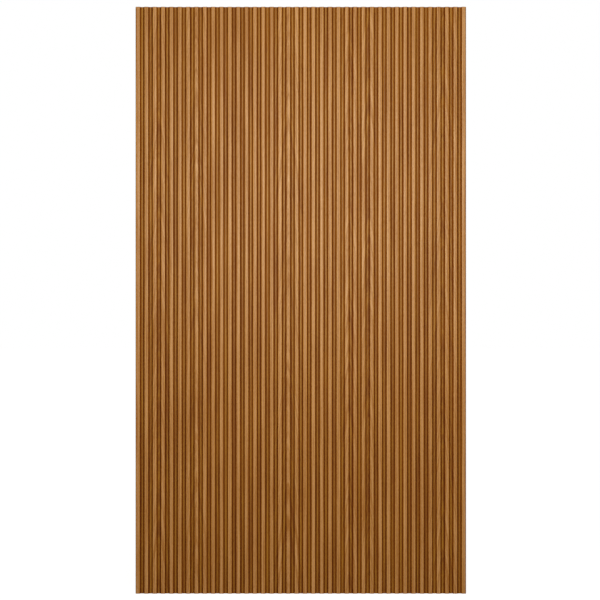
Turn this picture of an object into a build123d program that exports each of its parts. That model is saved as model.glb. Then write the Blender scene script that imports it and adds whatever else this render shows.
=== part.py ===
"""Slat wall panel: tapered timber slats glued upright, side by side, on a plain backing board.

Frame: +Z up, +X to the right seen from the front, front towards -Y.
The origin is the centre of the back face, which lies against the wall.
"""

from build123d import *
import os

# Driving dimensions, in millimetres
panel_height = 2400.0
board_thickness = 9.0
board_back_ease = 1.0  # chamfer round the back face, so that the panel sits flush on an uneven wall
slat_count = 40
slat_base_width = 20.5  # at the glue line
slat_face_width = 15.6  # between the corners of the tapered sides, before they are rounded
slat_projection = 12.0  # from the board's front to the middle of the slat's face
slat_gap = 13.65  # bare board between two slats, at the glue line
face_crown = 0.8  # how far the middle of the face stands proud of its corners
shoulder_radius = 1.8
end_ease = 0.6  # chamfer on the sawn ends of a slat

# Sizes that follow from them
slat_pitch = slat_base_width + slat_gap
board_width = slat_count * slat_base_width + (slat_count - 1) * slat_gap
first_slat_x = (slat_base_width - board_width) / 2
panel_bottom = -panel_height / 2
board_front = -board_thickness


def make_board():
    """The board: flush with the outer slats at its sides and with the slats' ends at top and bottom."""
    with BuildPart() as board:
        with BuildSketch(Plane.XZ):
            Rectangle(board_width, panel_height)
        extrude(amount=board_thickness)
        back_face = board.faces().sort_by(Axis.Y)[-1]
        chamfer(back_face.edges(), length=board_back_ease)
    return board.part


def make_slat(center_x):
    """One slat: a crowned face, rounded shoulders and tapered sides, carried up the whole panel."""
    base = slat_base_width / 2
    face = slat_face_width / 2
    shoulder_y = face_crown - slat_projection
    with BuildPart() as slat:
        with BuildSketch(Plane((center_x, board_front, panel_bottom))) as section:
            with BuildLine():
                Line((-face, shoulder_y), (-base, 0))
                Line((-base, 0), (base, 0))
                Line((base, 0), (face, shoulder_y))
                ThreePointArc((face, shoulder_y), (0, -slat_projection), (-face, shoulder_y))
            make_face()
            shoulders = section.vertices().sort_by(Axis.Y)[:2]
            fillet(shoulders, radius=shoulder_radius)
        extrude(amount=panel_height)
        for sawn_end in slat.faces().filter_by(Axis.Z):
            glue_line = sawn_end.edges().sort_by(Axis.Y)[-1]
            exposed_edges = [edge for edge in sawn_end.edges() if edge != glue_line]
            chamfer(exposed_edges, length=end_ease)
    return slat.part


def write_piece(piece, name):
    """Label the piece and write it as its own file."""
    piece.label = name
    export_step(piece, f"parts/{name}.step")


os.makedirs("parts", exist_ok=True)
write_piece(make_board(), "backing_board")
for index in range(slat_count):
    slat_x = first_slat_x + index * slat_pitch
    write_piece(make_slat(slat_x), f"slat_{index + 1:02d}")
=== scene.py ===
"""Slat wall panel: forty tapered timber slats on a backing board, dressed and lit for the studio."""

import math

import bpy
import numpy as np
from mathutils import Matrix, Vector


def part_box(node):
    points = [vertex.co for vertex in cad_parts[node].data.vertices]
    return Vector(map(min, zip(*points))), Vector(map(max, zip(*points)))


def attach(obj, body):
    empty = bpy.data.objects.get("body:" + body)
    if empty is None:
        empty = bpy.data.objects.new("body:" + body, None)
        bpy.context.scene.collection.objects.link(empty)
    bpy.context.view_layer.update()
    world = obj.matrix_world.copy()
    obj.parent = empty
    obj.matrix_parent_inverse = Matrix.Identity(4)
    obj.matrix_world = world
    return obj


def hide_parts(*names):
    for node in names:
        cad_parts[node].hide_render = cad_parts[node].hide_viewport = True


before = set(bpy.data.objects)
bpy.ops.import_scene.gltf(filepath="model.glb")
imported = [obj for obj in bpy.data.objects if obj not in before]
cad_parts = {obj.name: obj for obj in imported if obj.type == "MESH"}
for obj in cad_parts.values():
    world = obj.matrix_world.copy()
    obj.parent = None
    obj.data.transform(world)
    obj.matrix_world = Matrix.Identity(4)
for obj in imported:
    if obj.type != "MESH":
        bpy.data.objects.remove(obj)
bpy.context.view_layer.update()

bl_info = {
    "name": "Slat Wall Panel",
    "version": (1, 0, 0),
    "blender": (4, 5, 0),
    "location": "3D View > Sidebar > Slat Panel",
    "description": "Builds the slats, the backing board and the studio of a slat wall panel",
    "category": "Object",
}

# The pieces and their places, read from the frame, in metres
BOARD_NODE = "backing_board"
SLAT_NODES = sorted(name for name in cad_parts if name.startswith("slat_"))
BODY = "root"
BOARD_LOW, BOARD_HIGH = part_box(BOARD_NODE)
FIRST_LOW, FIRST_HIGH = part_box(SLAT_NODES[0])
SECOND_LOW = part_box(SLAT_NODES[1])[0]
SLAT_BASE = FIRST_HIGH.x - FIRST_LOW.x
SLAT_PITCH = SECOND_LOW.x - FIRST_LOW.x
SLAT_PROJECTION = BOARD_LOW.y - FIRST_LOW.y
FIRST_CENTER_X = (FIRST_LOW.x + FIRST_HIGH.x) / 2
BOARD_FRONT = BOARD_LOW.y
PANEL_FRONT = FIRST_LOW.y
PANEL_WIDTH = BOARD_HIGH.x - BOARD_LOW.x
PANEL_HEIGHT = BOARD_HIGH.z - BOARD_LOW.z

# The panel's outline in the photograph, in its pixels
PHOTO_SIDE_PX = 600.0
PANEL_LEFT_PX, PANEL_RIGHT_PX = 135.55, 466.1
PANEL_TOP_PX, PANEL_BOTTOM_PX = 6.72, 593.76

# The arched figure: each leaf of timber has its middle, its half width and how far its arches are moved
TIMBER_LEAVES = (
    (-0.582, 0.062, 0.0),
    (-0.431, 0.055, 3.1),
    (-0.054, 0.078, 6.7),
    (0.195, 0.041, 9.2),
    (0.277, 0.040, 12.9),
    (0.580, 0.08, 15.4),
)
ARCH_SLOPE = 7.0
ARCH_ROUNDING = 0.006
ARCH_WOBBLE = 0.04
ARCH_SCALES = (14.0, 10.0, 0.0)
ARCH_DETAIL = 3.0
ARCH_ROUGHNESS = 0.66
ARCH_FULL_SHARE = 0.6
ARCH_WEIGHT = 3.6

# The straight grain, from broad drift and long streaks to short flecks
# Each layer has its scales along x, y and z, its detail, its roughness and its weight
GRAIN_LAYERS = (
    ((9.0, 0.0, 3.0), 2.0, 0.5, 0.4),
    ((130.0, 40.0, 0.2), 1.0, 0.5, 1.3),
    ((300.0, 40.0, 3.2), 1.0, 0.5, 1.9),
    ((520.0, 300.0, 5.0), 3.0, 0.75, 1.6),
    ((900.0, 300.0, 90.0), 1.0, 0.5, 1.2),
)
FIGURE_MIDDLE = 0.5
WANDER_SCALES = (3.0, 0.0, 1.2)
WANDER_SIZE = 0.012
WOBBLE_SCALES = (40.0, 0.0, 5.0)
WAVER_DETAIL = 2.0
DEPTH_SLIDE = 0.15
PORE_SCALES = (1500.0, 1500.0, 60.0)
PORE_DETAIL = 1.0
PORE_START, PORE_FULL = 0.12, 0.2

# What the grain, the pores and the bare wood do to the finish
PORE_TINT = (0.42, 0.34, 0.26, 1.0)
PORE_SHARE = 0.35
PORE_DULLNESS = 0.2
PORE_RELIEF = 0.6
GRAIN_SHEEN = 0.06
DRY_DULLNESS = 0.6
RELIEF_STRENGTH = 0.35
RELIEF_DEPTH = 0.0002

# How the painted shade in the grooves, the painted highlight on the faces, the dulled lacquer and the paler
# back lie: depths are shares of the crown or of the projection, heights shares of the panel's
GROOVE_CONTRAST = 1.4
# Painted shade deepens from its top share down to its foot share of the panel's height
SHADE_DEPTH_AT_TOP, SHADE_DEPTH_AT_FOOT = 0.945, 1.1
SHADE_TOP_SHARE, SHADE_FOOT_SHARE = 1 / 6, -1 / 4
# Painted highlight: the face turns paler from its middle out towards the shoulders
SHOULDER_HIGHLIGHT_START, SHOULDER_HIGHLIGHT_FULL = 0.02, 0.35
# Painted shade down the slats' sides is full at this share of the projection
FLANK_SHADE_FULL = 0.2
DULLED_START, DULLED_FULL = 0.15, 0.5
# The outer side of each end slat has no neighbour beside it and keeps less painted shade and dulling
OUTER_SIDE_SHARE = 1 / 6
OUTER_SIDE_LOSS = 0.3
NEAR_FRONT = 0.99
# The darker middle of the face and the painted highlight towards its shoulders
FACE_MIDDLE_TINT = (0.89, 0.87, 0.84, 1.0)
SHOULDER_HIGHLIGHT_TINT = (1.04, 1.05, 1.06, 1.0)
BACK_TINT = (0.96, 0.93, 0.86, 1.0)

# How finely the surfaces are divided, and where two faces meet in a sharp edge
SHOULDER_STEPS = 8
CROWN_STEPS = 10
SLAT_STRIPS = 8
SHARP_ANGLE = math.radians(30.0)

# The map for baking
BAKE_MAP = "OFBake"

# The stage
WHITE = (1.0, 1.0, 1.0, 1.0)
FLOOR_REACH = 60.0
FLOOR_LIFT = 0.885
FLOOR_ROUGHNESS = 0.9
SENSOR_MM = 36.0
FACING_PANEL = (math.radians(90.0), 0.0, 0.0)


class SlatShape(bpy.types.PropertyGroup):
    """The section of a slat and the easing of its ends and of the board's back."""

    face_width: bpy.props.FloatProperty(
        name="Face Width",
        description="Across the face, between the corners of the tapered sides",
        default=0.0156,
        unit="LENGTH",
    )
    face_crown: bpy.props.FloatProperty(
        name="Face Crown",
        description="How far the middle of the face stands proud of its corners",
        default=0.0008,
        unit="LENGTH",
    )
    shoulder_radius: bpy.props.FloatProperty(
        name="Shoulder Radius",
        description="Rounding between the face and each tapered side",
        default=0.0018,
        unit="LENGTH",
    )
    end_ease: bpy.props.FloatProperty(
        name="End Ease",
        description="Chamfer on the sawn ends of a slat",
        default=0.0006,
        unit="LENGTH",
    )
    back_ease: bpy.props.FloatProperty(
        name="Back Ease",
        description="Chamfer round the back face of the board",
        default=0.001,
        unit="LENGTH",
    )


class TimberFinish(bpy.types.PropertyGroup):
    """The colours and the sheen of the timber under its stain and lacquer, with the tints of its painted
    shade.
    """

    pale_color: bpy.props.FloatVectorProperty(
        name="Pale Wood",
        description="The lightest wood of a slat's face",
        default=(0.65, 0.324, 0.12),
        size=3,
        subtype="COLOR",
    )
    dark_color: bpy.props.FloatVectorProperty(
        name="Dark Grain",
        description="The darkest grain of a slat's face",
        default=(0.39, 0.143, 0.0205),
        size=3,
        subtype="COLOR",
    )
    # Painted shade in the middle of each groove, where the slats shade the board
    painted_groove_shade: bpy.props.FloatVectorProperty(
        name="Groove Tint",
        description="What the deeper stain leaves of the wood's colour in the middle of a groove",
        default=(0.69, 0.627, 0.167),
        size=3,
        subtype="COLOR",
    )
    # Painted shade in the corners, where shade falls: down the slats' sides and along each slat's foot on
    # the board
    painted_corner_shade: bpy.props.FloatVectorProperty(
        name="Corner Tint",
        description="What is left of the wood's colour where stain has gathered along the glue lines",
        default=(0.388, 0.188, 0.0004),
        size=3,
        subtype="COLOR",
    )
    end_tint: bpy.props.FloatVectorProperty(
        name="End Grain Tint",
        description="What is left of the wood's colour on the sawn ends, which drink more stain",
        default=(0.66, 0.5, 0.32),
        size=3,
        subtype="COLOR",
    )
    lacquer_tint: bpy.props.FloatVectorProperty(
        name="Lacquer Tint",
        description="Tint of the reflection in the amber lacquer",
        default=(1.0, 0.97, 0.78),
        size=3,
        subtype="COLOR",
    )
    roughness: bpy.props.FloatProperty(
        name="Roughness",
        description="Roughness of the satin lacquer between the pores",
        default=0.37,
        min=0.0,
        max=1.0,
        subtype="FACTOR",
    )
    specular: bpy.props.FloatProperty(
        name="Specular Level",
        description="Strength of the lacquer's reflection",
        default=0.235,
        min=0.0,
        max=1.0,
        subtype="FACTOR",
    )
    board_specular: bpy.props.FloatProperty(
        name="Board Specular Level",
        description="Strength of the thinner lacquer's reflection in the grooves",
        default=0.21,
        min=0.0,
        max=1.0,
        subtype="FACTOR",
    )


class StudioSetup(bpy.types.PropertyGroup):
    """The camera, the softbox and the white surroundings."""

    camera_distance: bpy.props.FloatProperty(
        name="Camera Distance",
        description="From the lens to the slats' faces",
        default=12.0,
        unit="LENGTH",
    )
    softbox_width: bpy.props.FloatProperty(
        name="Softbox Width",
        description="Width of the softbox in front of the panel",
        default=1.2,
        unit="LENGTH",
    )
    softbox_height: bpy.props.FloatProperty(
        name="Softbox Height",
        description="Height of the softbox in front of the panel",
        default=1.3,
        unit="LENGTH",
    )
    softbox_place: bpy.props.FloatVectorProperty(
        name="Softbox Place",
        description="Centre of the softbox",
        default=(0.1, -2.8, 0.6),
        size=3,
        subtype="TRANSLATION",
    )
    softbox_power: bpy.props.FloatProperty(
        name="Softbox Power",
        description="Power of the softbox",
        default=56.5,
        unit="POWER",
    )
    fill_strength: bpy.props.FloatProperty(
        name="Fill Strength",
        description="Strength of the even light from all round",
        default=0.412,
        min=0.0,
    )
    floor_color: bpy.props.FloatVectorProperty(
        name="Floor Colour",
        description="Colour of the pale floor",
        default=(0.3, 0.3, 0.3),
        size=3,
        subtype="COLOR",
    )


class MaterialMaker:
    """Adds nodes to one new material; any input may be given as a socket or as a plain value."""

    def __init__(self, name):
        self.material = bpy.data.materials.new(name)
        self.material.use_nodes = True
        self.nodes = self.material.node_tree.nodes
        self.links = self.material.node_tree.links
        self.shader = self.nodes["Principled BSDF"]

    def put(self, socket, value):
        """Link a socket to an input, or set the input's own value."""
        if isinstance(value, bpy.types.NodeSocket):
            self.links.new(value, socket)
        else:
            socket.default_value = value

    def math(self, operation, *values):
        """The sum, product or other result of one to three numbers."""
        node = self.nodes.new("ShaderNodeMath")
        node.operation = operation
        for socket, value in zip(node.inputs, values):
            self.put(socket, value)
        return node.outputs["Value"]

    def ease(self, value, low, high, at_low=0.0, at_high=1.0):
        """A smooth step from one level to another as the value goes from low to high."""
        node = self.nodes.new("ShaderNodeMapRange")
        node.interpolation_type = "SMOOTHSTEP"
        for socket, setting in zip(node.inputs, (value, low, high, at_low, at_high)):
            self.put(socket, setting)
        return node.outputs["Result"]

    def mix(self, factor, first, second, blend="MIX"):
        """Two colours blended by a factor."""
        node = self.nodes.new("ShaderNodeMix")
        node.data_type = "RGBA"
        node.blend_type = blend
        self.put(node.inputs["Factor"], factor)
        self.put(node.inputs["A"], first)
        self.put(node.inputs["B"], second)
        return node.outputs["Result"]

    def tinted(self, color, tint):
        """A colour times a tint."""
        return self.mix(1.0, color, tint, "MULTIPLY")

    def stain(self, tint, depth):
        """What a tint leaves of each colour: the tint to the power of how deep it lies. It lays the painted
        shade.
        """
        node = self.nodes.new("ShaderNodeCombineColor")
        for socket, channel in zip(node.inputs, tint):
            self.put(socket, self.math("POWER", channel, depth))
        return node.outputs["Color"]

    def stretched(self, x, y, z, scales):
        """A vector of the three coordinates, each times its own scale."""
        node = self.nodes.new("ShaderNodeCombineXYZ")
        for socket, value, scale in zip(node.inputs, (x, y, z), scales):
            self.put(socket, self.math("MULTIPLY", value, scale))
        return node.outputs["Vector"]

    def noise(self, vector, detail, roughness=0.5):
        """Smooth noise about zero, from about -0.5 to 0.5."""
        node = self.nodes.new("ShaderNodeTexNoise")
        self.put(node.inputs["Vector"], vector)
        self.put(node.inputs["Scale"], 1.0)
        self.put(node.inputs["Detail"], detail)
        self.put(node.inputs["Roughness"], roughness)
        return self.math("SUBTRACT", node.outputs["Fac"], 0.5)

    def coordinates(self):
        """The piece's own x, y and z, in metres."""
        place = self.nodes.new("ShaderNodeTexCoord")
        split = self.nodes.new("ShaderNodeSeparateXYZ")
        self.put(split.inputs["Vector"], place.outputs["Object"])
        return split.outputs["X"], split.outputs["Y"], split.outputs["Z"]


def rgba(color):
    """A colour property as four numbers."""
    return (*color, 1.0)


def add_arches(maker, figure_x, x, z):
    """Bands of arched figure about zero, strongest in the middle of each leaf and gone at its sides.

    The bands follow z plus a slope times the root of s squared plus c squared, where s is how far x is
    from the leaf's middle and c rounds the point. Lines of equal value are arches with their points up.
    """
    aside, shift, presence = 0.0, 0.0, 0.0
    for middle, half_width, offset in TIMBER_LEAVES:
        from_middle = maker.math("ABSOLUTE", maker.math("SUBTRACT", figure_x, middle))
        inside = maker.math("LESS_THAN", from_middle, half_width)
        aside = maker.math("MULTIPLY_ADD", inside, from_middle, aside)
        shift = maker.math("MULTIPLY_ADD", inside, offset, shift)
        nearness = maker.math("MULTIPLY_ADD", from_middle, -1.0 / half_width, 1.0)
        presence = maker.math("MULTIPLY_ADD", inside, nearness, presence)
    rounded = maker.math("SQRT", maker.math("MULTIPLY_ADD", aside, aside, ARCH_ROUNDING ** 2))
    wobble = maker.noise(maker.stretched(x, 0.0, z, WOBBLE_SCALES), WAVER_DETAIL)
    moved = maker.math("MULTIPLY_ADD", wobble, ARCH_WOBBLE, maker.math("ADD", z, shift))
    arch = maker.math("MULTIPLY_ADD", rounded, ARCH_SLOPE, moved)
    bands = maker.noise(maker.stretched(arch, shift, 0.0, ARCH_SCALES), ARCH_DETAIL, ARCH_ROUGHNESS)
    return maker.math("MULTIPLY", bands, maker.ease(presence, 0.0, ARCH_FULL_SHARE))


def add_grain(maker, x, y, z):
    """Figure of plain-sawn timber, from 0 dark to 1 pale, and its open pores, from 0 to 1.

    Straight grain is noise drawn out along z, in layers from long streaks to short flecks. The arches
    of the leaves come on top of it. All of it sways a little with the height.
    """
    wander = maker.noise(maker.stretched(x, y, z, WANDER_SCALES), WAVER_DETAIL)
    slid = maker.math("MULTIPLY_ADD", y, DEPTH_SLIDE, x)
    figure_x = maker.math("MULTIPLY_ADD", wander, WANDER_SIZE, slid)
    arches = add_arches(maker, figure_x, x, z)
    figure = maker.math("MULTIPLY_ADD", arches, ARCH_WEIGHT, FIGURE_MIDDLE)
    for scales, detail, roughness, weight in GRAIN_LAYERS:
        layer = maker.noise(maker.stretched(figure_x, y, z, scales), detail, roughness)
        figure = maker.math("MULTIPLY_ADD", layer, weight, figure)
    pore_noise = maker.noise(maker.stretched(figure_x, y, z, PORE_SCALES), PORE_DETAIL)
    return figure, maker.ease(pore_noise, PORE_START, PORE_FULL)


def finish_timber(maker, finish, figure, pores, tint, dulled, z, specular):
    """Colour, roughness and relief of lacquered timber from its figure, its pores and a tint that carries
    the painted shade and painted highlight, and the paler back of the board.
    """
    end_start = PANEL_HEIGHT / 2 - bpy.context.scene.slat_shape.end_ease
    at_end = maker.math("GREATER_THAN", maker.math("ABSOLUTE", z), end_start)
    wood = maker.mix(figure, rgba(finish.dark_color), rgba(finish.pale_color))
    # The tint lays the painted shade and painted highlight over the wood
    tinted_wood = maker.tinted(wood, tint)
    sawn = maker.tinted(wood, rgba(finish.end_tint))
    colored = maker.mix(at_end, tinted_wood, sawn)
    pore_share = maker.math("MULTIPLY", pores, PORE_SHARE)
    porous = maker.mix(pore_share, colored, maker.tinted(colored, PORE_TINT))

    lacquered = maker.math("MULTIPLY_ADD", pores, PORE_DULLNESS, finish.roughness)
    grained = maker.math("MULTIPLY_ADD", figure, -GRAIN_SHEEN, lacquered)
    dry = maker.math("MAXIMUM", dulled, at_end)
    rough = maker.math("MINIMUM", maker.math("MULTIPLY_ADD", dry, DRY_DULLNESS, grained), 1.0)
    bump = maker.nodes.new("ShaderNodeBump")
    maker.put(bump.inputs["Height"], maker.math("MULTIPLY_ADD", pores, -PORE_RELIEF, figure))
    maker.put(bump.inputs["Strength"], RELIEF_STRENGTH)
    maker.put(bump.inputs["Distance"], RELIEF_DEPTH)

    shader = maker.shader
    maker.put(shader.inputs["Base Color"], porous)
    maker.put(shader.inputs["Roughness"], rough)
    maker.put(shader.inputs["Specular IOR Level"], specular)
    maker.put(shader.inputs["Specular Tint"], rgba(finish.lacquer_tint))
    maker.put(shader.inputs["Normal"], bump.outputs["Normal"])
    return maker.material


def painted_shade_by_height(maker, z):
    """How deep the painted shade lies at a height: it deepens towards the foot, painted to stand for the
    light falling off down the panel.
    """
    top = SHADE_TOP_SHARE * PANEL_HEIGHT
    foot = SHADE_FOOT_SHARE * PANEL_HEIGHT
    return maker.ease(z, top, foot, SHADE_DEPTH_AT_TOP, SHADE_DEPTH_AT_FOOT)


def slat_timber(finish):
    """Timber of the slats under its stain, with a painted highlight towards the shoulders and painted shade
    down the sides.
    """
    maker = MaterialMaker("slat_timber")
    x, y, z = maker.coordinates()
    figure, pores = add_grain(maker, x, y, z)
    face_crown = bpy.context.scene.slat_shape.face_crown
    depth = maker.math("SUBTRACT", y, PANEL_FRONT)
    # Painted highlight: the face turns paler from its middle out to the shoulders
    shoulder_highlight = maker.ease(depth, SHOULDER_HIGHLIGHT_START * face_crown, SHOULDER_HIGHLIGHT_FULL * face_crown)
    face = maker.mix(shoulder_highlight, FACE_MIDDLE_TINT, SHOULDER_HIGHLIGHT_TINT)
    outer_start = PANEL_WIDTH / 2 - OUTER_SIDE_SHARE * SLAT_BASE
    outside = maker.math("GREATER_THAN", maker.math("ABSOLUTE", x), outer_start)
    kept = maker.math("MULTIPLY_ADD", outside, -OUTER_SIDE_LOSS, 1.0)
    # Painted shade down the sides, less on the outer side of an end slat, deeper towards the panel's foot
    below_face = maker.math("MULTIPLY", maker.ease(depth, 0.0, FLANK_SHADE_FULL * SLAT_PROJECTION), kept)
    flank_shade = maker.math("MULTIPLY", below_face, painted_shade_by_height(maker, z))
    tint = maker.tinted(face, maker.stain(finish.painted_corner_shade, flank_shade))
    below_shoulder = maker.ease(depth, DULLED_START * SLAT_PROJECTION, DULLED_FULL * SLAT_PROJECTION)
    dulled = maker.math("MULTIPLY", below_shoulder, kept)
    return finish_timber(maker, finish, figure, pores, tint, dulled, z, finish.specular)


def board_timber(finish):
    """Timber of the board under its stain, with painted shade in the grooves, deepest along the foot of
    each slat.
    """
    maker = MaterialMaker("board_timber")
    x, y, z = maker.coordinates()
    figure, pores = add_grain(maker, x, y, z)
    bold = maker.math("MULTIPLY_ADD", figure, GROOVE_CONTRAST, (1.0 - GROOVE_CONTRAST) / 2)
    from_first = maker.math("SUBTRACT", x, FIRST_CENTER_X)
    from_slat = maker.math("PINGPONG", from_first, SLAT_PITCH / 2)
    clear = maker.ease(from_slat, SLAT_BASE / 2, SLAT_PITCH / 2)
    share = maker.math("SUBTRACT", 1.0, clear)
    # Painted shade in the grooves: deepest along each slat's foot, lighter in a groove's middle, deeper
    # towards the panel's foot
    shade_by_height = painted_shade_by_height(maker, z)
    at_foot = maker.stain(finish.painted_corner_shade, maker.math("MULTIPLY", share, shade_by_height))
    at_middle = maker.stain(finish.painted_groove_shade, maker.math("MULTIPLY", clear, shade_by_height))
    groove = maker.tinted(at_foot, at_middle)
    in_front = maker.math("LESS_THAN", y, NEAR_FRONT * BOARD_FRONT)
    tint = maker.mix(in_front, BACK_TINT, groove)
    dulled = maker.math("MULTIPLY", share, in_front)
    return finish_timber(maker, finish, bold, pores, tint, dulled, z, finish.board_specular)


def slat_section(base_width, projection, shape):
    """Section of a slat as an open run of points, from its left foot over the face to its right foot.

    The face is the circle through both corners and the crowned middle. Each side is the straight line
    from foot to corner. Each shoulder is the arc that touches that line and that circle from inside:
    its middle lies one shoulder radius in from the line, and the crown radius less the shoulder
    radius from the middle of the crown circle. Columns are x and how far the point stands out.
    """
    foot = base_width / 2
    corner = shape.face_width / 2
    corner_out = projection - shape.face_crown
    radius = shape.shoulder_radius
    crown_radius = (corner ** 2 + shape.face_crown ** 2) / (2 * shape.face_crown)
    crown_middle = np.array([0.0, projection - crown_radius])

    left_foot = np.array([-foot, 0.0])
    along = np.array([foot - corner, corner_out])
    along /= np.linalg.norm(along)
    inward = np.array([along[1], -along[0]])
    start = left_foot + radius * inward - crown_middle
    half_b = along @ start
    reach = -half_b + math.sqrt(half_b ** 2 - start @ start + (crown_radius - radius) ** 2)
    shoulder_middle = left_foot + radius * inward + reach * along

    to_crown = shoulder_middle - crown_middle
    touch_angle = math.atan2(to_crown[1], to_crown[0])
    side_angle = math.atan2(-inward[1], -inward[0])
    turn = np.linspace(side_angle, touch_angle, SHOULDER_STEPS + 1)[:, None]
    shoulder = shoulder_middle + radius * np.hstack([np.cos(turn), np.sin(turn)])
    arch = np.linspace(touch_angle, math.pi - touch_angle, CROWN_STEPS + 1)[1:-1, None]
    crown = crown_middle + crown_radius * np.hstack([np.cos(arch), np.sin(arch)])
    mirrored = shoulder[::-1] * (-1.0, 1.0)
    return np.vstack([left_foot, shoulder, crown, mirrored, left_foot * (-1.0, 1.0)])


def eased_section(section, ease):
    """The section drawn in by the ease along its own normals, with its foot left on the board."""
    step = np.gradient(section, axis=0)
    normal = np.column_stack([-step[:, 1], step[:, 0]])
    normal /= np.linalg.norm(normal, axis=1, keepdims=True)
    drawn = section - ease * normal
    drawn[[0, -1], 1] = 0.0
    return drawn


def grid_faces(rows, columns):
    """Quads between the neighbouring rows and columns of a grid of points."""
    index = np.arange(rows * columns).reshape(rows, columns)
    low, high = index[:-1], index[1:]
    return np.stack([low[:, :-1], low[:, 1:], high[:, 1:], high[:, :-1]], axis=-1).reshape(-1, 4)


def new_piece(name, points, faces, corner_map, material):
    """A mesh object at the origin from points, faces and one map place for each face corner."""
    mesh = bpy.data.meshes.new(name)
    mesh.from_pydata(points, [], faces)
    layer = mesh.uv_layers.new(name=BAKE_MAP)
    layer.data.foreach_set("uv", np.ascontiguousarray(corner_map, dtype=np.float32).ravel())
    mesh.materials.append(material)
    mesh.polygons.foreach_set("use_smooth", np.ones(len(mesh.polygons), dtype=bool))
    mesh.set_sharp_from_angle(angle=SHARP_ANGLE)
    mesh.validate()
    piece = bpy.data.objects.new(name, mesh)
    bpy.context.scene.collection.objects.link(piece)
    return piece


def slat_surface(center_x, shape):
    """Points, faces and map of one slat: its section carried up the panel, drawn in at both ends."""
    section = slat_section(SLAT_BASE, SLAT_PROJECTION, shape)
    drawn = eased_section(section, shape.end_ease)
    bottom, top = BOARD_LOW.z, BOARD_HIGH.z
    cuts = np.linspace(bottom, top, SLAT_STRIPS + 1)
    heights = np.concatenate([[bottom, bottom + shape.end_ease], cuts[1:-1], [top - shape.end_ease, top]])
    rows, columns = len(heights), len(section)
    outlines = np.broadcast_to(section, (rows, columns, 2)).copy()
    outlines[[0, -1]] = drawn
    points = np.empty((rows, columns, 3))
    points[..., 0] = center_x + outlines[..., 0]
    points[..., 1] = BOARD_FRONT - outlines[..., 1]
    points[..., 2] = heights[:, None]

    sides = grid_faces(rows, columns)
    lower = np.arange(rows - 1) * columns
    glued = np.column_stack([lower + columns - 1, lower, lower + columns, lower + 2 * columns - 1])
    first_end = np.arange(columns)[::-1]
    last_end = (rows - 1) * columns + np.arange(columns)
    faces = sides.tolist() + glued.tolist() + [first_end.tolist(), last_end.tolist()]

    run = np.concatenate([[0.0], np.cumsum(np.linalg.norm(np.diff(section, axis=0), axis=1))])
    along = run / run[-1]
    strip = np.clip(np.arange(rows - 1) - 1, 0, SLAT_STRIPS - 1)
    return points.reshape(-1, 3), faces, slat_map(section, heights, along, strip)


def slat_map(section, heights, along, strip):
    """Bake map of a slat: its length cut into strips that lie side by side, with the ends above them.

    A strip's width runs over the section and its height along the slat. The glued side has a narrow
    band beside each strip.
    """
    margin = 0.02
    strip_height = 0.846
    side_share = 0.84
    band_start, band_share = 0.88, 0.08
    end_height = 0.05
    first_end_place, end_step = (0.25, 0.92), (0.5, 0.0)
    span = (heights[-1] - heights[0]) / SLAT_STRIPS
    strip_low = heights[0] + strip * span
    v_low = margin + strip_height * (heights[:-1] - strip_low) / span
    v_high = margin + strip_height * (heights[1:] - strip_low) / span

    left = (strip[:, None] + margin + side_share * along[None, :-1]) / SLAT_STRIPS
    right = (strip[:, None] + margin + side_share * along[None, 1:]) / SLAT_STRIPS
    bottom_v = np.broadcast_to(v_low[:, None], left.shape)
    top_v = np.broadcast_to(v_high[:, None], left.shape)
    sides = np.stack(
        [
            np.stack([left, bottom_v], -1),
            np.stack([right, bottom_v], -1),
            np.stack([right, top_v], -1),
            np.stack([left, top_v], -1),
        ],
        axis=2,
    ).reshape(-1, 2)
    near = (strip + band_start) / SLAT_STRIPS
    far = (strip + band_start + band_share) / SLAT_STRIPS
    glued = np.stack(
        [
            np.column_stack([near, v_low]),
            np.column_stack([far, v_low]),
            np.column_stack([far, v_high]),
            np.column_stack([near, v_high]),
        ],
        axis=1,
    ).reshape(-1, 2)
    end = section * end_height / SLAT_PROJECTION + first_end_place
    return np.vstack([sides, glued, end[::-1], end + end_step])


def board_surface(shape):
    """Points, faces and map of the board: a slab with a chamfered back.

    Its front is divided at the feet of the slats. In the bake map the bare floors of the grooves get
    most of the front's width, because the rest of the front is glued over.
    """
    feet = FIRST_LOW.x + SLAT_PITCH * np.arange(len(SLAT_NODES))
    across = np.sort(np.concatenate([feet, feet + SLAT_BASE]))
    across[-1] = BOARD_HIGH.x
    ease = shape.back_ease
    bottom, top = BOARD_LOW.z, BOARD_HIGH.z
    columns = len(across)
    inset = across.copy()
    inset[[0, -1]] += (ease, -ease)
    loops = (
        (across, BOARD_FRONT, bottom),
        (across, BOARD_FRONT, top),
        (across, BOARD_HIGH.y - ease, top),
        (inset, BOARD_HIGH.y, top - ease),
        (inset, BOARD_HIGH.y, bottom + ease),
        (across, BOARD_HIGH.y - ease, bottom),
    )
    lines = [np.column_stack([xs, np.full(columns, y), np.full(columns, z)]) for xs, y, z in loops]
    points = np.vstack(lines)
    around = grid_faces(len(loops), columns)
    last = (len(loops) - 1) * columns
    step = np.arange(columns - 1)
    closing = np.column_stack([last + step, last + step + 1, step + 1, step])
    left_end = [line * columns for line in range(len(loops))]
    right_end = [index + columns - 1 for index in reversed(left_end)]
    faces = around.tolist() + closing.tolist() + [left_end, right_end]
    return points, faces, board_map(across)


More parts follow.
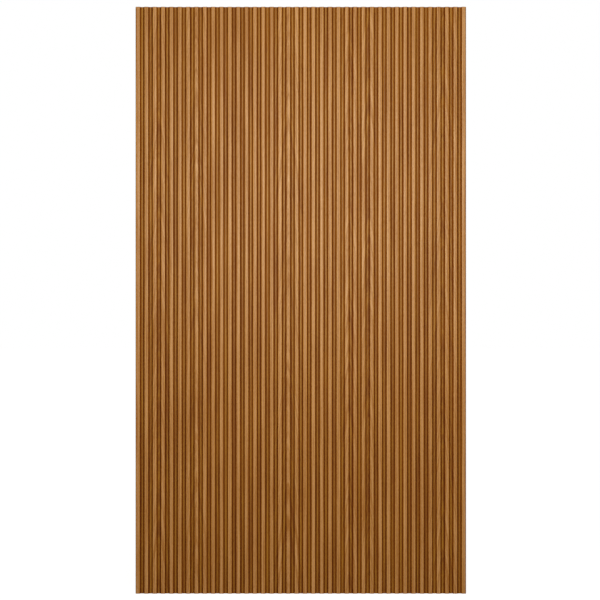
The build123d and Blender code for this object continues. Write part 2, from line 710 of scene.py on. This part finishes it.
def board_map(across):
    """Bake map of the board: each strip round it is a band, and the front's has wide groove floors.

    A band's row gives its places across, its start in u and v and its size in u and v. The two sides
    of the board are small rings.
    """
    margin = 0.01
    hidden_share = 0.06
    ring_radius = 0.006
    ring_places = ((0.9, 0.98), (0.95, 0.98))
    widths = np.diff(across)
    widths[::2] *= hidden_share
    front = np.concatenate([[0.0], np.cumsum(widths)]) / widths.sum()
    even = (across - across[0]) / (across[-1] - across[0])
    bands = (
        (front, 0.01, 0.0, 0.56, 0.94),
        (even, 0.01, 0.96, 0.4, 0.008),
        (even, 0.45, 0.96, 0.4, 0.003),
        (even, 0.58, 0.0, 0.41, 0.94),
        (even, 0.45, 0.975, 0.4, 0.003),
        (even, 0.01, 0.975, 0.4, 0.008),
    )
    maps = []
    for places, u_start, v_start, u_size, v_size in bands:
        u = u_start + u_size * places
        left, right = u[:-1], u[1:]
        low = np.full_like(left, v_start + margin)
        high = np.full_like(left, v_start + margin + v_size)
        quad = [np.column_stack(pair) for pair in ((left, low), (right, low), (right, high), (left, high))]
        maps.append(np.stack(quad, axis=1).reshape(-1, 2))
    turn = np.linspace(0.0, 2 * np.pi, len(bands), endpoint=False)
    ring = ring_radius * np.column_stack([np.cos(turn), np.sin(turn)])
    return np.vstack(maps + [ring + place for place in ring_places])


def seen_straight(nodes, links):
    """One where the camera, a reflection or a clear piece looks straight at the surface, else zero."""
    light_path = nodes.new("ShaderNodeLightPath")
    seen = light_path.outputs["Is Camera Ray"]
    for output in ("Is Glossy Ray", "Is Transmission Ray"):
        either = nodes.new("ShaderNodeMath")
        either.operation = "MAXIMUM"
        links.new(seen, either.inputs[0])
        links.new(light_path.outputs[output], either.inputs[1])
        seen = either.outputs["Value"]
    return seen


def lay_floor(studio):
    """A pale floor under the panel, lifted towards white for the camera but still taking the shadow."""
    signs = ((-1, -1), (1, -1), (1, 1), (-1, 1))
    corners = [(x * FLOOR_REACH, y * FLOOR_REACH, BOARD_LOW.z) for x, y in signs]
    mesh = bpy.data.meshes.new("studio_floor")
    mesh.from_pydata(corners, [], [(0, 1, 2, 3)])
    floor = bpy.data.objects.new("studio_floor", mesh)
    bpy.context.scene.collection.objects.link(floor)
    maker = MaterialMaker("floor_paint")
    seen = seen_straight(maker.nodes, maker.links)
    maker.put(maker.shader.inputs["Base Color"], rgba(studio.floor_color))
    maker.put(maker.shader.inputs["Roughness"], FLOOR_ROUGHNESS)
    maker.put(maker.shader.inputs["Specular IOR Level"], 0.0)
    maker.put(maker.shader.inputs["Emission Color"], WHITE)
    maker.put(maker.shader.inputs["Emission Strength"], maker.math("MULTIPLY", seen, FLOOR_LIFT))
    mesh.materials.append(maker.material)


def light_world(studio):
    """Even grey light from all round, seen as white."""
    world = bpy.data.worlds.new("studio_world")
    world.use_nodes = True
    bpy.context.scene.world = world
    nodes, links = world.node_tree.nodes, world.node_tree.links
    fill = nodes["Background"]
    fill.inputs["Color"].default_value = WHITE
    fill.inputs["Strength"].default_value = studio.fill_strength
    backdrop = nodes.new("ShaderNodeBackground")
    backdrop.inputs["Color"].default_value = WHITE
    mix = nodes.new("ShaderNodeMixShader")
    links.new(seen_straight(nodes, links), mix.inputs["Fac"])
    links.new(fill.outputs["Background"], mix.inputs[1])
    links.new(backdrop.outputs["Background"], mix.inputs[2])
    links.new(mix.outputs["Shader"], nodes["World Output"].inputs["Surface"])


def hang_softbox(studio):
    """A wide softbox in front of the panel, level with its upper half and facing it."""
    lamp = bpy.data.lights.new("softbox", "AREA")
    lamp.shape = "RECTANGLE"
    lamp.size = studio.softbox_width
    lamp.size_y = studio.softbox_height
    lamp.energy = studio.softbox_power
    softbox = bpy.data.objects.new("softbox", lamp)
    softbox.location = studio.softbox_place
    softbox.rotation_euler = FACING_PANEL
    softbox.visible_camera = False
    bpy.context.scene.collection.objects.link(softbox)


def place_camera(studio):
    """A camera square to the panel, placed so that the outline falls on the photograph's pixels.

    One pixel is the panel's height over its height in pixels. The lens stands off the panel's middle
    by as much as the outline's middle lies off the picture's middle, and the field is the whole side.
    """
    metre_per_px = PANEL_HEIGHT / (PANEL_BOTTOM_PX - PANEL_TOP_PX)
    middle_px = PHOTO_SIDE_PX / 2
    right_px = (PANEL_LEFT_PX + PANEL_RIGHT_PX) / 2 - middle_px
    down_px = (PANEL_TOP_PX + PANEL_BOTTOM_PX) / 2 - middle_px
    lens = bpy.data.cameras.new("camera")
    lens.sensor_width = SENSOR_MM
    lens.lens = SENSOR_MM * studio.camera_distance / (PHOTO_SIDE_PX * metre_per_px)
    camera = bpy.data.objects.new("camera", lens)
    camera.location = (
        -right_px * metre_per_px,
        PANEL_FRONT - studio.camera_distance,
        down_px * metre_per_px,
    )
    camera.rotation_euler = FACING_PANEL
    bpy.context.scene.collection.objects.link(camera)
    bpy.context.scene.camera = camera


class SLATPANEL_OT_make_slats(bpy.types.Operator):
    """Make every slat where the frame has it, as its section carried up the panel"""

    bl_idname = "slat_panel.make_slats"
    bl_label = "Make Slats"

    def execute(self, context):
        shape = context.scene.slat_shape
        timber = slat_timber(context.scene.timber_finish)
        for node in SLAT_NODES:
            low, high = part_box(node)
            points, faces, corner_map = slat_surface((low.x + high.x) / 2, shape)
            slat = new_piece(f"dressed_{node}", points, faces, corner_map, timber)
            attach(slat, BODY)
            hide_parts(node)
        return {"FINISHED"}


class SLATPANEL_OT_make_board(bpy.types.Operator):
    """Make the backing board with its chamfered back"""

    bl_idname = "slat_panel.make_board"
    bl_label = "Make Board"

    def execute(self, context):
        timber = board_timber(context.scene.timber_finish)
        points, faces, corner_map = board_surface(context.scene.slat_shape)
        board = new_piece("dressed_backing_board", points, faces, corner_map, timber)
        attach(board, BODY)
        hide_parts(BOARD_NODE)
        return {"FINISHED"}


class SLATPANEL_OT_set_stage(bpy.types.Operator):
    """Set the pale floor, the white surroundings, the softbox and the camera"""

    bl_idname = "slat_panel.set_stage"
    bl_label = "Set Stage"

    def execute(self, context):
        studio = context.scene.studio_setup
        context.scene.view_settings.view_transform = "Standard"
        lay_floor(studio)
        light_world(studio)
        hang_softbox(studio)
        place_camera(studio)
        return {"FINISHED"}


class SLATPANEL_PT_sidebar(bpy.types.Panel):
    """Lists the settings and the steps of the slat panel"""

    bl_idname = "SLATPANEL_PT_sidebar"
    bl_label = "Slat Wall Panel"
    bl_space_type = "VIEW_3D"
    bl_region_type = "UI"
    bl_category = "Slat Panel"

    def draw(self, context):
        layout = self.layout
        for settings in (context.scene.slat_shape, context.scene.timber_finish, context.scene.studio_setup):
            column = layout.box().column()
            for name in settings.__annotations__:
                column.prop(settings, name)
        for operator in OPERATORS:
            layout.operator(operator.bl_idname)


SETTINGS = {"slat_shape": SlatShape, "timber_finish": TimberFinish, "studio_setup": StudioSetup}
OPERATORS = (SLATPANEL_OT_make_slats, SLATPANEL_OT_make_board, SLATPANEL_OT_set_stage)
CLASSES = (*SETTINGS.values(), *OPERATORS, SLATPANEL_PT_sidebar)


def register():
    """Register the classes and give every scene the settings."""
    for cls in CLASSES:
        bpy.utils.register_class(cls)
    for name, group in SETTINGS.items():
        setattr(bpy.types.Scene, name, bpy.props.PointerProperty(type=group))


def unregister():
    """Take the settings and the classes away again."""
    for name in SETTINGS:
        delattr(bpy.types.Scene, name)
    for cls in reversed(CLASSES):
        bpy.utils.unregister_class(cls)


def main():
    """Make the pieces and the stage in order."""
    register()
    bpy.ops.slat_panel.make_slats()
    bpy.ops.slat_panel.make_board()
    bpy.ops.slat_panel.set_stage()


if __name__ == "__main__":
    main()
